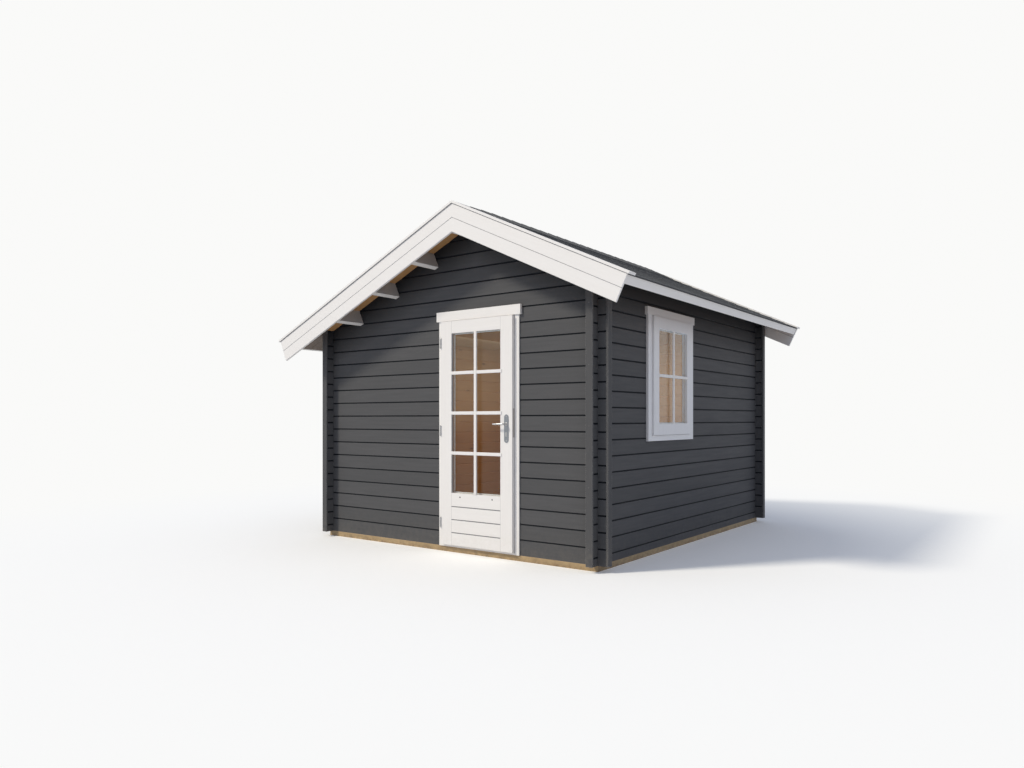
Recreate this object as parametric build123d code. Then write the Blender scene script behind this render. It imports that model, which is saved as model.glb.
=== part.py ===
from build123d import *
import math
import os

# A garden log cabin of interlocking planed logs, with one outward door in the gable,
# one window in the long right wall and a felt roof whose ridge stands right of the middle.
# Millimetres. X runs left to right seen from the door, Y runs front to back, Z up.
# The origin is under the middle of the roof's outline, on the ground.

# Logs and their joints
course = 120.0                  # height that each log adds to a wall
log_thickness = 44.0
joint_chamfer_depth = 5.0       # the V between two logs, into the face
joint_chamfer_height = 7.0      # and up or down each log
tongue_width = 16.0             # the tongue is a ridge along the middle of the log's top
tongue_height = 8.0
tongue_play = 0.5               # side play of the tongue in its groove
lap_clearance = 1.0             # play above a tongue, in the groove and in the corner notch
notch_play = 0.3                # side play of a crossing log in its notch
corner_arm = 72.0               # how far crossed logs run past the wall's outer face
eaves_log_least = 1.0           # least height of a top log, as a share of a course
splinter_volume = 60000.0       # smaller bits that the roof cuts off a log are not kept

# Vertical boards on the ends of the crossed logs
cover_width = 56.0
cover_thickness = 15.0

# Plan of the walls, over their outer faces
wall_width = 2920.0
wall_depth = 3370.0

# Ground frame and floor
base_height = 45.0
base_width = 44.0
base_joint_from_front = 1460.0  # butt joint of each side beam, from the front wall's face
butt_gap = 0.5
joist_width = 45.0
joist_count = 5
floor_thickness = 19.0
floor_fit = 2.0                 # gap between the floor and the logs round it

# Roof form
ridge_from_right = 1128.0       # ridge line to the right wall's outer face
ridge_underside = 2652.5        # deck's underside at the ridge, above the lowest log's bottom
left_pitch = 23.7
right_pitch = 25.3
front_overhang = 300.0          # wall face to the outer face of the bargeboards
back_overhang = 120.0
left_reach = 376.0              # wall face to the outermost corner of the verge caps
right_reach = 417.0
deck_thickness = 63.0           # boards with insulation over them
roofing_thickness = 8.0
ridge_cover_width = 125.0       # covering of the ridge, down each slope
ridge_cover_thickness = 30.0    # square to the slope at the ridge
ridge_cover_edge = 6.0          # and at its lower edges
purlin_thickness = 44.0
purlin_depth = 131.0
purlin_first = 528.0            # along the slope, from the ridge
purlin_spacing = 503.0
purlin_wall_space = 60.0        # least room between the last purlin and the wall
ridge_purlin_width = 70.0
ridge_purlin_depth = 142.0
barge_width = 101.0             # each of the two stacked bargeboards
barge_thickness = 18.0
barge_chamfer = 3.0
cap_width = 93.0
cap_thickness = 18.0
cap_front_lip = 8.0             # cap past the bargeboard's face
cap_end_lip = 15.0              # cap past the bargeboard's lower end
fascia_height = 63.0
fascia_thickness = 18.0
fascia_setback = 5.0            # fascia face behind the bargeboards' lower end
drip_lip = 8.0                  # roofing past the fascia's face

# Door
door_from_right = 1106.0        # middle of the door to the right wall's outer face
leaf_width = 736.0
leaf_thickness = 40.0
leaf_bottom = 20.0              # above the lowest log's bottom
leaf_top = 1859.0
leaf_gap = 5.0                  # running gap round the leaf and in front of the stops
stile_width = 115.0
door_glass_bottom = 449.0
door_glass_top = 1758.0
panel_board_height = 107.0
panel_groove_count = 3
panel_groove = 8.0
stop_lap = 12.0                 # stops behind the leaf's edges
frame_cover = 15.0              # frame between the running gap and the logs
threshold_height = 15.0
threshold_upstand = 34.0
door_casing_thickness = 12.0
window_casing_thickness = 20.0
casing_head_thickness = 24.0
door_casing_width = 40.0
door_casing_head = 78.0
door_casing_ear = 20.0

# Hinges: lift-off pairs, lower half on the frame and upper half on the leaf
hinge_centres = (1683.0, 958.0, 200.0)
hinge_height = 82.0
hinge_radius = 5.5
hinge_pin_radius = 2.5
hinge_pin_play = 0.3
hinge_pin_rise = 20.0
hinge_plate_thickness = 2.0
hinge_axis_side = 3.0           # axis beside the leaf's edge
hinge_axis_front = 5.0          # axis in front of the leaf's face

# Lock plates and lever
backset = 55.0
plate_width = 42.0
plate_height = 220.0
plate_thickness = 3.0
plate_drop = 35.0               # plate's middle below the spindle
spindle_height = 1015.0
spindle_radius = 5.0
spindle_play = 0.5
neck_radius = 8.0
neck_play = 0.5                 # neck off the plate's face
lever_standoff = 46.0           # leaf's face to the middle of the lever
lever_length = 105.0
lever_thickness = 11.0
lever_root_radius = 8.5
lever_tip_radius = 6.5
forend_width = 20.0
forend_height = 225.0
forend_rise = 10.0              # forend's middle above the spindle
forend_thickness = 2.0

# Window in the right wall
window_from_front = 1200.0      # middle of the window to the front wall's outer face
sash_width = 736.0
sash_bottom = 924.0             # above the lowest log's bottom
sash_height = 962.0
sash_thickness = 36.0
sash_member = 94.0
sash_gap = 3.0
window_frame_cover = 10.0       # frame past the sash, into the logs
window_frame_lap = 20.0         # frame behind the sash
window_frame_depth = 52.0
window_casing_width = 67.0
window_casing_head = 66.0
window_casing_foot = 44.0
window_casing_ear = 22.0

# Glass
glass_thickness = 14.0
glass_rebate = 10.0
glass_play = 1.0

# Overall box and the places of the walls in it
roof_width = left_reach + wall_width + right_reach
roof_depth = cap_front_lip + front_overhang + wall_depth + back_overhang + cap_front_lip
left_face = -roof_width / 2 + left_reach
right_face = left_face + wall_width
front_face = -roof_depth / 2 + cap_front_lip + front_overhang
back_face = front_face + wall_depth
left_inner = left_face + log_thickness
right_inner = right_face - log_thickness
front_inner = front_face + log_thickness
back_inner = back_face - log_thickness
log_bottom = base_height
ridge_x = right_face - ridge_from_right
ridge_z = log_bottom + ridge_underside
door_x = right_face - door_from_right
window_y = front_face + window_from_front
front_barge_face = front_face - front_overhang
back_barge_face = back_face + back_overhang
far = roof_width + roof_depth   # longer than anything in the cabin

# Heights over the deck's underside, square to the slope
roofing_top = deck_thickness + roofing_thickness
barge_top = roofing_top
barge_middle = barge_top - barge_width
barge_bottom = barge_middle - barge_width

nodes = {}


def put(name, *shapes):
    """Collect the solids of the shapes as one named node."""
    nodes[name] = [solid for shape in shapes for solid in shape.solids()]


def block(x0, x1, y0, y1, z0, z1):
    """A square-edged piece between two opposite corners."""
    return Pos((x0 + x1) / 2, (y0 + y1) / 2, (z0 + z1) / 2) * Box(x1 - x0, y1 - y0, z1 - z0)


def along_x(outline, x0, x1):
    """A piece of constant section whose outline of (y, z) points runs from x0 to x1."""
    face = make_face(Polyline(*[(x0, y, z) for y, z in outline], close=True))
    return extrude(face, amount=x1 - x0, dir=(1, 0, 0))


def along_y(outline, y0, y1):
    """A piece of constant section whose outline of (x, z) points runs from y0 to y1."""
    face = make_face(Polyline(*[(x, y0, z) for x, z in outline], close=True))
    return extrude(face, amount=y1 - y0, dir=(0, 1, 0))


def cylinder_y(x, z, radius, y0, y1):
    """A round bar along Y."""
    return Pos(x, (y0 + y1) / 2, z) * Rot(90, 0, 0) * Cylinder(radius, y1 - y0)


class Slope:
    """One side of the roof, measured along and square to the deck's underside."""

    def __init__(self, side, pitch, to_wall, reach):
        self.side = side
        self.sin = math.sin(math.radians(pitch))
        self.cos = math.cos(math.radians(pitch))
        self.tan = self.sin / self.cos
        self.to_wall = to_wall
        cap_top = barge_top + cap_thickness
        self.cap_end = (to_wall + reach - cap_top * self.sin) / self.cos
        self.barge_end = self.cap_end - cap_end_lip
        self.fascia_face = self.barge_end - fascia_setback
        self.deck_end = self.fascia_face - fascia_thickness
        self.roofing_end = self.fascia_face + drip_lip

    def at(self, down, up):
        """The (x, z) point a distance down the slope and a height over the underside."""
        x = ridge_x + self.side * (down * self.cos + up * self.sin)
        return x, ridge_z - down * self.sin + up * self.cos

    def at_ridge(self, up):
        """The (x, z) point on the plumb ridge line at a height over the underside."""
        return ridge_x, ridge_z + up / self.cos

    def layer(self, low, high, end):
        """Outline of a layer from the plumb cut at the ridge to a square-cut lower end."""
        return [self.at_ridge(low), self.at_ridge(high), self.at(end, high), self.at(end, low)]

    def strip(self, start, end, low, high):
        """Outline of a rectangle that lies along the slope."""
        return [self.at(start, low), self.at(start, high), self.at(end, high), self.at(end, low)]

    def underside_at(self, x):
        """Height of the deck's underside at x."""
        return ridge_z - abs(x - ridge_x) * self.tan


left_slope = Slope(-1, left_pitch, wall_width - ridge_from_right, left_reach)
right_slope = Slope(1, right_pitch, ridge_from_right, right_reach)
slopes = {"left": left_slope, "right": right_slope}


def above_roof():
    """Everything over the deck's underside, which trims logs and cover boards."""
    left_end = ridge_x - far
    right_end = ridge_x + far
    outline = [
        (left_end, left_slope.underside_at(left_end)),
        (ridge_x, ridge_z),
        (right_end, right_slope.underside_at(right_end)),
        (right_end, ridge_z + far),
        (left_end, ridge_z + far),
    ]
    return along_y(outline, -far, far)


roof_trim = above_roof()


# Roof timbers

timber_front = front_barge_face + barge_thickness
timber_back = back_barge_face - barge_thickness


def purlins():
    """Purlins square to each slope, evenly spaced from the first one towards the wall."""
    made = []
    for slope in slopes.values():
        room = slope.to_wall / slope.cos - purlin_wall_space
        for step in range(int((room - purlin_first) / purlin_spacing) + 1):
            middle = purlin_first + step * purlin_spacing
            half = purlin_thickness / 2
            outline = slope.strip(middle - half, middle + half, -purlin_depth, 0)
            made.append(along_y(outline, timber_front, timber_back))
    return made


def ridge_purlin():
    """The ridge timber, bevelled on top to both slopes."""
    half = ridge_purlin_width / 2
    outline = [
        (ridge_x - half, ridge_z - ridge_purlin_depth),
        (ridge_x - half, left_slope.underside_at(ridge_x - half)),
        (ridge_x, ridge_z),
        (ridge_x + half, right_slope.underside_at(ridge_x + half)),
        (ridge_x + half, ridge_z - ridge_purlin_depth),
    ]
    return along_y(outline, timber_front, timber_back)


purlin_timbers = purlins()
ridge_timber = ridge_purlin()
put("purlins", *purlin_timbers)
put("ridge_purlin", ridge_timber)


# Log walls

def log_outline(middle, bottom, height, grooved):
    """Section of a log: tongue on top, groove below, and a V chamfer at each edge."""
    half = log_thickness / 2
    seat = half - joint_chamfer_depth
    tongue = tongue_width / 2
    groove = tongue + tongue_play
    top = bottom + height
    upper = [
        (middle + half, top - joint_chamfer_height),
        (middle + seat, top),
        (middle + tongue, top),
        (middle, top + tongue_height),
        (middle - tongue, top),
        (middle - seat, top),
        (middle - half, top - joint_chamfer_height),
    ]
    if not grooved:
        return [(middle - half, bottom), (middle + half, bottom)] + upper
    lower = [
        (middle - half, bottom + joint_chamfer_height),
        (middle - seat, bottom),
        (middle - groove, bottom),
        (middle, bottom + tongue_height + lap_clearance),
        (middle + groove, bottom),
        (middle + seat, bottom),
        (middle + half, bottom + joint_chamfer_height),
    ]
    return lower + upper


def courses(start, highest):
    """Bottom and height of each log from a first height up to the roof's highest point."""
    rows = []
    bottom = log_bottom
    height = start
    while highest - (bottom + height) > eaves_log_least * course:
        rows.append((bottom, height))
        bottom += height
        height = course
    rows.append((bottom, highest - bottom + course))
    return rows


notch_height = course / 2 + tongue_height + lap_clearance
doorway_half = leaf_width / 2 + leaf_gap + frame_cover
doorway_top = log_bottom + leaf_top + leaf_gap + frame_cover
window_half = sash_width / 2 + window_frame_cover
window_low = log_bottom + sash_bottom - window_frame_cover
window_high = log_bottom + sash_bottom + sash_height + window_frame_cover
doorway = block(door_x - doorway_half, door_x + doorway_half,
                front_face - far, front_inner + far, log_bottom, doorway_top)
window_hole = block(right_inner - far, right_face + far,
                    window_y - window_half, window_y + window_half, window_low, window_high)


def end_notches(bottom):
    """Cut-outs under a front or back log where it laps over the two side walls."""
    low = bottom - course
    high = bottom + notch_height
    return [
        block(inner - notch_play, outer + notch_play, -far, far, low, high)
        for inner, outer in ((left_face, left_inner), (right_inner, right_face))
    ]


def side_notches(bottom, is_top):
    """Cut-outs of a side log: under it at each end wall, and over a top log as well."""
    low = bottom - course
    high = bottom + notch_height
    cuts = []
    for near, distant in ((front_face, front_inner), (back_inner, back_face)):
        cuts.append(block(-far, far, near - notch_play, distant + notch_play, low, high))
        if is_top:
            cuts.append(block(-far, far, near - notch_play, distant + notch_play,
                              bottom + course, bottom + far))
    return cuts


def put_wall(name, logs):
    """Share a wall's logs between two nodes, so that no two in a node touch."""
    put(name + "_odd_logs", *logs[0::2])
    put(name + "_even_logs", *logs[1::2])


def end_wall(middle_y, openings):
    """Logs of a gable wall, each notched over the side logs and cut to the roof."""
    logs = []
    for bottom, height in courses(course, ridge_z):
        outline = log_outline(middle_y, bottom, height, bottom > log_bottom)
        log = along_x(outline, left_face - corner_arm, right_face + corner_arm)
        cuts = end_notches(bottom) + openings + purlin_timbers + [ridge_timber, roof_trim]
        pieces = (log - cuts).solids()
        logs.append(pieces.filter_by(lambda piece: piece.volume > splinter_volume))
    return logs


def side_wall(middle_x, slope, openings):
    """Logs of a long wall, half a course out of step, with a bevelled log at the eaves."""
    logs = []
    inner_x = middle_x - slope.side * log_thickness / 2
    rows = courses(course / 2, slope.underside_at(inner_x))
    for number, (bottom, height) in enumerate(rows):
        outline = log_outline(middle_x, bottom, height, number > 0)
        log = along_y(outline, front_face - corner_arm, back_face + corner_arm)
        cuts = list(openings)
        if number > 0:
            cuts += side_notches(bottom, number == len(rows) - 1)
        if number == len(rows) - 1:
            cuts.append(roof_trim)
        logs.append(log - cuts if cuts else log)
    return logs


put_wall("front_wall", end_wall((front_face + front_inner) / 2, [doorway]))
put_wall("back_wall", end_wall((back_face + back_inner) / 2, []))
put_wall("left_wall", side_wall((left_face + left_inner) / 2, left_slope, []))
put_wall("right_wall", side_wall((right_face + right_inner) / 2, right_slope, [window_hole]))


def corner_covers():
    """A board on the ends of the crossed logs, two at each corner, up to the deck."""
    half = cover_width / 2
    boards = []
    for face_x, side in ((left_face, -1), (right_face, 1)):
        middle_x = face_x - side * log_thickness / 2
        tip_x = face_x + side * corner_arm
        out_x = tip_x + side * cover_thickness
        for face_y, way in ((front_face, -1), (back_face, 1)):
            middle_y = face_y - way * log_thickness / 2
            tip_y = face_y + way * corner_arm
            out_y = tip_y + way * cover_thickness
            boards.append(block(min(tip_x, out_x), max(tip_x, out_x), middle_y - half, middle_y + half,
                                log_bottom, ridge_z) - roof_trim)
            boards.append(block(middle_x - half, middle_x + half, min(tip_y, out_y), max(tip_y, out_y),
                                log_bottom, ridge_z) - roof_trim)
    return boards


put("corner_covers", *corner_covers())


# Ground frame and floor

def base_frame():
    """Beams under the walls: end beams run through, side beams butt between them."""
    put("end_base_beams",
        block(left_face, right_face, front_face, front_face + base_width, 0, base_height),
        block(left_face, right_face, back_face - base_width, back_face, 0, base_height))
    joint = front_face + base_joint_from_front
    lengths = ((front_face + base_width, joint - butt_gap / 2),
               (joint + butt_gap / 2, back_face - base_width))
    put("side_base_beams",
        *[block(x, x + base_width, start, end, 0, base_height)
          for x in (left_face, right_face - base_width) for start, end in lengths])


def floor():
    """Joists between the end beams and the boarded floor on them."""
    clear = right_face - left_face - 2 * base_width
    pitch = clear / joist_count
    joists = []
    for number in range(joist_count):
        x = left_face + base_width + pitch * (number + 0.5)
        joists.append(block(x - joist_width / 2, x + joist_width / 2,
                            front_face + base_width, back_face - base_width, 0, base_height))
    put("floor_joists", *joists)
    put("floor", block(left_inner + floor_fit, right_inner - floor_fit,
                       front_inner + floor_fit, back_inner - floor_fit,
                       base_height, base_height + floor_thickness))


base_frame()
floor()


# Roof covering and trim

def ridge_covering(start, end):
    """Folded covering on the ridge of both slopes, thickest at the ridge line."""
    base = max(slope.at_ridge(roofing_top)[1] for slope in slopes.values())
    crown = ridge_cover_thickness / max(left_slope.cos, right_slope.cos)
    outline = [left_slope.at(ridge_cover_width, roofing_top),
               left_slope.at(ridge_cover_width, roofing_top + ridge_cover_edge),
               (ridge_x, base + crown),
               right_slope.at(ridge_cover_width, roofing_top + ridge_cover_edge),
               right_slope.at(ridge_cover_width, roofing_top),
               (ridge_x, base)]
    return along_y(outline, start, end)


def bargeboard(slope, low, high, face, back):
    """A board from its outer face to its back, chamfered along both long outer edges."""
    board = along_y(slope.layer(low, high, slope.barge_end), min(face, back), max(face, back))
    outer_edges = board.edges().filter_by_position(Axis.Y, face, face)
    return chamfer([edge for edge in outer_edges if edge.length > 2 * barge_width], barge_chamfer)


def roof():
    """Deck, roofing, fascias, bargeboards and verge caps of both slopes."""
    fascias = []
    for name, slope in slopes.items():
        put(name + "_roof_deck", along_y(slope.layer(0, deck_thickness, slope.deck_end),
                                         timber_front, timber_back))
        put(name + "_roofing", along_y(slope.layer(deck_thickness, roofing_top, slope.roofing_end),
                                       timber_front, timber_back))
        fascias.append(along_y(slope.strip(slope.deck_end, slope.fascia_face,
                                           deck_thickness - fascia_height, deck_thickness),
                               timber_front, timber_back))
        for part, low, high in (("upper", barge_middle, barge_top), ("lower", barge_bottom, barge_middle)):
            put(name + "_" + part + "_bargeboards",
                bargeboard(slope, low, high, front_barge_face, timber_front),
                bargeboard(slope, low, high, back_barge_face, timber_back))
        cap = slope.layer(barge_top, barge_top + cap_thickness, slope.cap_end)
        cap_front = front_barge_face - cap_front_lip
        cap_back = back_barge_face + cap_front_lip
        put(name + "_verge_caps", along_y(cap, cap_front, cap_front + cap_width),
            along_y(cap, cap_back - cap_width, cap_back))
    put("ridge_covering", ridge_covering(cap_front + cap_width, cap_back - cap_width))
    put("fascias", *fascias)


roof()


# Door frame

leaf_left = door_x - leaf_width / 2
leaf_right = door_x + leaf_width / 2
leaf_low = log_bottom + leaf_bottom
leaf_high = log_bottom + leaf_top
leaf_front = front_face - leaf_thickness
stop_front = front_face + leaf_gap
frame_back = front_inner


def door_frame():
    """Jambs and head with a stop behind the leaf, a threshold, and casing boards outside."""
    jambs = []
    for side, edge in ((-1, leaf_left), (1, leaf_right)):
        stop = edge - side * stop_lap
        clear = edge + side * leaf_gap
        wall = edge + side * (leaf_gap + frame_cover)
        face = make_face(Polyline((stop, stop_front, log_bottom), (clear, stop_front, log_bottom),
                                  (clear, front_face, log_bottom), (wall, front_face, log_bottom),
                                  (wall, frame_back, log_bottom), (stop, frame_back, log_bottom),
                                  close=True))
        jambs.append(extrude(face, amount=leaf_high - stop_lap - log_bottom, dir=(0, 0, 1)))
    put("door_jambs", *jambs)
    head = [(stop_front, leaf_high - stop_lap), (stop_front, leaf_high + leaf_gap),
            (front_face, leaf_high + leaf_gap), (front_face, doorway_top),
            (frame_back, doorway_top), (frame_back, leaf_high - stop_lap)]
    put("door_head", along_x(head, door_x - doorway_half, door_x + doorway_half))
    nose = block(leaf_left - leaf_gap, leaf_right + leaf_gap, front_face - door_casing_thickness, stop_front,
                 log_bottom, log_bottom + threshold_height)
    upstand = block(leaf_left + stop_lap, leaf_right - stop_lap, stop_front, front_inner,
                    log_bottom, log_bottom + threshold_upstand)
    put("door_threshold", nose + upstand)
    casing_top = leaf_high + leaf_gap
    boards = []
    for side, edge in ((-1, leaf_left), (1, leaf_right)):
        inner = edge + side * leaf_gap
        outer = inner + side * door_casing_width
        boards.append(block(min(inner, outer), max(inner, outer), front_face - door_casing_thickness,
                            front_face, log_bottom, casing_top))
    put("door_casing_sides", *boards)
    reach = leaf_width / 2 + leaf_gap + door_casing_width + door_casing_ear
    put("door_casing_head", block(door_x - reach, door_x + reach, front_face - casing_head_thickness,
                                  front_face, casing_top, casing_top + door_casing_head))


door_frame()


# Door leaf

glass_low = log_bottom + door_glass_bottom
glass_high = log_bottom + door_glass_top
glass_front = front_face - glass_thickness
forend_middle_y = front_face - leaf_thickness / 2
lock_x = leaf_right - backset
lock_z = log_bottom + spindle_height
plate_z = lock_z - plate_drop
forend_low = lock_z + forend_rise - forend_height / 2


def door_leaf():
    """Stiles, rails and glass; the glass lies in a rebate at the back."""
    glass_left = leaf_left + stile_width
    glass_right = leaf_right - stile_width
    rebate = block(glass_left - glass_rebate - glass_play, glass_right + glass_rebate + glass_play,
                   glass_front, front_face,
                   glass_low - glass_rebate - glass_play, glass_high + glass_rebate + glass_play)
    forend_seat = block(leaf_right - forend_thickness, leaf_right, forend_middle_y - forend_width / 2,
                        forend_middle_y + forend_width / 2, forend_low, forend_low + forend_height)
    spindle_bore = cylinder_y(lock_x, lock_z, spindle_radius + spindle_play, leaf_front, front_face)
    stiles = [block(leaf_left, glass_left, leaf_front, front_face, leaf_low, leaf_high) - rebate,
              block(glass_right, leaf_right, leaf_front, front_face, leaf_low, leaf_high)
              - [rebate, forend_seat, spindle_bore]]
    put("door_stiles", *stiles)
    top_rail = block(glass_left, glass_right, leaf_front, front_face, glass_high, leaf_high) - rebate
    panel = block(glass_left, glass_right, leaf_front, front_face, leaf_low, glass_low) - rebate
    half = panel_groove / 2
    for number in range(1, panel_groove_count + 1):
        z = leaf_low + panel_board_height * number - half
        groove = [(leaf_front, z - half), (leaf_front + half, z), (leaf_front, z + half)]
        panel -= along_x(groove, glass_left, glass_right)
    put("door_rails", top_rail, panel)
    put("door_glass", block(glass_left - glass_rebate, glass_right + glass_rebate, glass_front, front_face,
                            glass_low - glass_rebate, glass_high + glass_rebate))


door_leaf()


# Hinges

hinge_x = leaf_left - hinge_axis_side
hinge_y = leaf_front - hinge_axis_front


def hinges():
    """Three pairs of barrel halves with plates in the gap beside the leaf."""
    frame_halves = []
    leaf_halves = []
    casing_edge = leaf_left - leaf_gap
    for centre in hinge_centres:
        z = log_bottom + centre
        half = hinge_height / 2
        barrel = Pos(hinge_x, hinge_y, z - half / 2 - hinge_pin_play / 2) * Cylinder(
            hinge_radius, half - hinge_pin_play)
        pin = Pos(hinge_x, hinge_y, z - half / 2 + hinge_pin_rise / 2) * Cylinder(
            hinge_pin_radius, half + hinge_pin_rise)
        plate = block(casing_edge, casing_edge + hinge_plate_thickness, hinge_y, front_face,
                      z - half, z - hinge_pin_play)
        frame_halves.append(barrel + plate + pin)
        upper = Pos(hinge_x, hinge_y, z + half / 2) * Cylinder(hinge_radius, half)
        flap = block(leaf_left - hinge_plate_thickness, leaf_left, hinge_y, front_face, z, z + half)
        bore = Pos(hinge_x, hinge_y, z + hinge_pin_rise / 2) * Cylinder(
            hinge_pin_radius + hinge_pin_play, hinge_pin_rise + 2 * hinge_pin_play)
        leaf_halves.append(upper + flap - bore)
    put("door_hinge_frame_halves", *frame_halves)
    put("door_hinge_leaf_halves", *leaf_halves)


hinges()


# Lock and lever

def lock_plate(face_y, out):
    """A plate with round ends on the leaf's front or back, bored for the spindle."""
    outline = SlotOverall(plate_height, plate_width, rotation=90)
    face = Plane(origin=(lock_x, face_y, plate_z), x_dir=(1, 0, 0), z_dir=(0, out, 0))
    plate = extrude(face * outline, amount=plate_thickness)
    end_y = face_y + out * plate_thickness
    return plate - cylinder_y(lock_x, lock_z, spindle_radius + spindle_play, min(face_y, end_y),
                              max(face_y, end_y))


def lever(face_y, out):
    """Half of the handle: a round neck and a flat lever that tapers to a round tip."""
    start = face_y + out * (plate_thickness + neck_play)
    middle = face_y + out * lever_standoff
    near = middle - lever_thickness / 2
    tip_x = lock_x - lever_length
    lean = math.asin((lever_root_radius - lever_tip_radius) / lever_length)
    upper = [Vector(x - radius * math.sin(lean), near, lock_z + radius * math.cos(lean))
             for x, radius in ((lock_x, lever_root_radius), (tip_x, lever_tip_radius))]
    lower = [Vector(point.X, near, 2 * lock_z - point.Z) for point in upper]
    edge = [Line(upper[0], upper[1]),
            ThreePointArc(upper[1], (tip_x - lever_tip_radius, near, lock_z), lower[1]),
            Line(lower[1], lower[0]),
            ThreePointArc(lower[0], (lock_x + lever_root_radius, near, lock_z), upper[0])]
    bar = extrude(make_face(edge), amount=lever_thickness, dir=(0, 1, 0))
    neck = cylinder_y(lock_x, lock_z, neck_radius, min(start, middle), max(start, middle))
    return neck + bar


def lock():
    """Plates, forend and the two levers on one spindle."""
    forend = block(leaf_right - forend_thickness, leaf_right, forend_middle_y - forend_width / 2,
                   forend_middle_y + forend_width / 2, forend_low, forend_low + forend_height)
    put("lock_plates", lock_plate(leaf_front, -1), lock_plate(front_face, 1), forend)
    reach = plate_thickness + neck_play
    spindle = cylinder_y(lock_x, lock_z, spindle_radius, leaf_front - reach, front_face + reach)
    put("door_handle", lever(leaf_front, -1) + spindle + lever(front_face, 1))


lock()


# Window

def window():
    """Frame in the logs, fixed sash with its glass, and casing boards outside."""
    low = log_bottom + sash_bottom
    high = low + sash_height
    near = window_y - sash_width / 2
    distant = window_y + sash_width / 2
    frame = block(right_face - window_frame_depth, right_face, near - window_frame_cover,
                  distant + window_frame_cover, window_low, window_high)
    put("window_frame", frame - block(right_face - window_frame_depth, right_face, near + window_frame_lap,
                                      distant - window_frame_lap, low + window_frame_lap,
                                      high - window_frame_lap))
    front = right_face + sash_thickness
    sash = block(right_face, front, near, distant, low, high)
    light = (near + sash_member, distant - sash_member, low + sash_member, high - sash_member)
    sash -= block(right_face, front, *light)
    reach = glass_rebate + glass_play
    sash -= block(right_face, right_face + glass_thickness, light[0] - reach, light[1] + reach,
                  light[2] - reach, light[3] + reach)
    put("window_sash", sash)
    put("window_glass", block(right_face, right_face + glass_thickness, light[0] - glass_rebate,
                              light[1] + glass_rebate, light[2] - glass_rebate, light[3] + glass_rebate))
    board = right_face + window_casing_thickness
    inner_near = near - sash_gap
    inner_distant = distant + sash_gap
    foot = low - sash_gap - window_casing_foot
    head = high + sash_gap
    put("window_casing_sides",
        block(right_face, board, inner_near - window_casing_width, inner_near, foot, head),
        block(right_face, board, inner_distant, inner_distant + window_casing_width, foot, head))
    reach = window_casing_width + window_casing_ear
    put("window_casing_head_and_foot",
        block(right_face, board, inner_near, inner_distant, foot, low - sash_gap),
        block(right_face, right_face + casing_head_thickness, inner_near - reach, inner_distant + reach,
              head, head + window_casing_head))


window()

os.makedirs("parts", exist_ok=True)
for name, solids in nodes.items():
    export_step(Compound(children=solids), "parts/" + name + ".step")
print(len(nodes), "nodes,", sum(len(solids) for solids in nodes.values()), "solids")
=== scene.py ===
"""Looks of a garden log cabin: paint, timber, shingles, glazing bars, glass and fittings."""
import math

import bpy
import numpy as np
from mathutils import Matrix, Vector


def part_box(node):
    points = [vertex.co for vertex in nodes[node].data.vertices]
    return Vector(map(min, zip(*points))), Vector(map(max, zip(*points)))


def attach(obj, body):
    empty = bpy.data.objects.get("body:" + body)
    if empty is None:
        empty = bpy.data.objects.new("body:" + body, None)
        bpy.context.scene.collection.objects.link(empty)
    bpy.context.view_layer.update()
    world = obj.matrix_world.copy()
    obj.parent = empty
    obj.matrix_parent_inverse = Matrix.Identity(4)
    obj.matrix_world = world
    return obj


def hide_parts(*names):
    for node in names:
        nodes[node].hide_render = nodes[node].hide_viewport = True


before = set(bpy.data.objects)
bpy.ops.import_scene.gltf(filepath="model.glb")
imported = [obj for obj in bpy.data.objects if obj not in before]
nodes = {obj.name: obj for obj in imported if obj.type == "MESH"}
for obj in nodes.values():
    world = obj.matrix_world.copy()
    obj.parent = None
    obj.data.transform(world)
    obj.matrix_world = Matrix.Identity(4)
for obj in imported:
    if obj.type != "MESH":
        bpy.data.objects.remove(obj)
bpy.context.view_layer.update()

# Metres, in the CAD model's frame. X runs left to right seen from the door, Y front to back, Z up.
mm = 0.001
X, Y, Z = np.eye(3)

# Walls: outer faces and the height where the logs start
log_bottom = 45 * mm
course = 120 * mm
beams_low, beams_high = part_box("end_base_beams")
left_face, right_face = beams_low.x, beams_high.x
front_face, back_face = beams_low.y, beams_high.y
wall = 44 * mm
joint_depth = 6 * mm

# Roof: the deck's underside at the ridge, the two pitches and the layers square to the slope
ridge_x, ridge_z = right_face - 1128 * mm, log_bottom + 2652.5 * mm
pitches = {"left": math.radians(23.7), "right": math.radians(25.3)}
sides = {"left": -1, "right": 1}
deck_thickness = 63 * mm
roofing_top = 71 * mm
cap_width = 93 * mm
caps_low, caps_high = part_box("left_verge_caps")
roof_near, roof_far = caps_low.y + cap_width, caps_high.y - cap_width

# Door and window: leaf, glass and the opening that shows, a rebate inside the glass's edges
rebate = 10 * mm
leaf_low, leaf_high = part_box("door_stiles")
door_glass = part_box("door_glass")
pane_low = (door_glass[0].x + rebate, door_glass[0].z + rebate)
pane_high = (door_glass[1].x - rebate, door_glass[1].z - rebate)
sash_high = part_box("window_sash")[1]
window_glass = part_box("window_glass")
light_low = (window_glass[0].y + rebate, window_glass[0].z + rebate)
light_high = (window_glass[1].y - rebate, window_glass[1].z - rebate)


# Pieces from worked-out surfaces

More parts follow.
